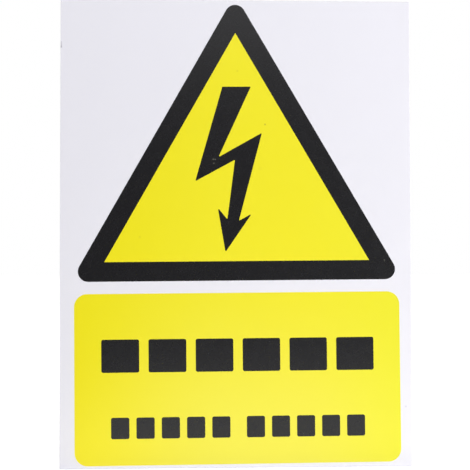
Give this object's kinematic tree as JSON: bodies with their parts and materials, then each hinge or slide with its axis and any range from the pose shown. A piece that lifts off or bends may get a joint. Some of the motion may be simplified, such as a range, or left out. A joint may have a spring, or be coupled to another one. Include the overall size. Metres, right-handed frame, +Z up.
{
  "type": "high voltage warning sign",
  "caption": "Flat upright warning sign: a plastic sheet printed with a bordered triangle that holds a forked arrow, above a rounded panel with lines of plain blocks.",
  "frame": {"origin": "middle of the sheet's back face, which lies on the wall, fence or gate that the sign is fixed to", "axes": "+Z up along the sheet's long side, +Y into the wall, so the printed face looks towards -Y, and +X to the right of someone who reads it"},
  "size_m": [0.15, 0.0011, 0.2],
  "materials": {
    "white_plastic": "satin",
    "yellow_ink": "satin",
    "black_ink": "satin"
  },
  "bodies": {
    "root": {"sheet": "white_plastic", "black_border": "black_ink", "yellow_triangle": "yellow_ink", "arrow": "black_ink", "yellow_panel": "yellow_ink", "legend_upper": "black_ink", "legend_lower": "black_ink"}
  },
  "joints": []
}
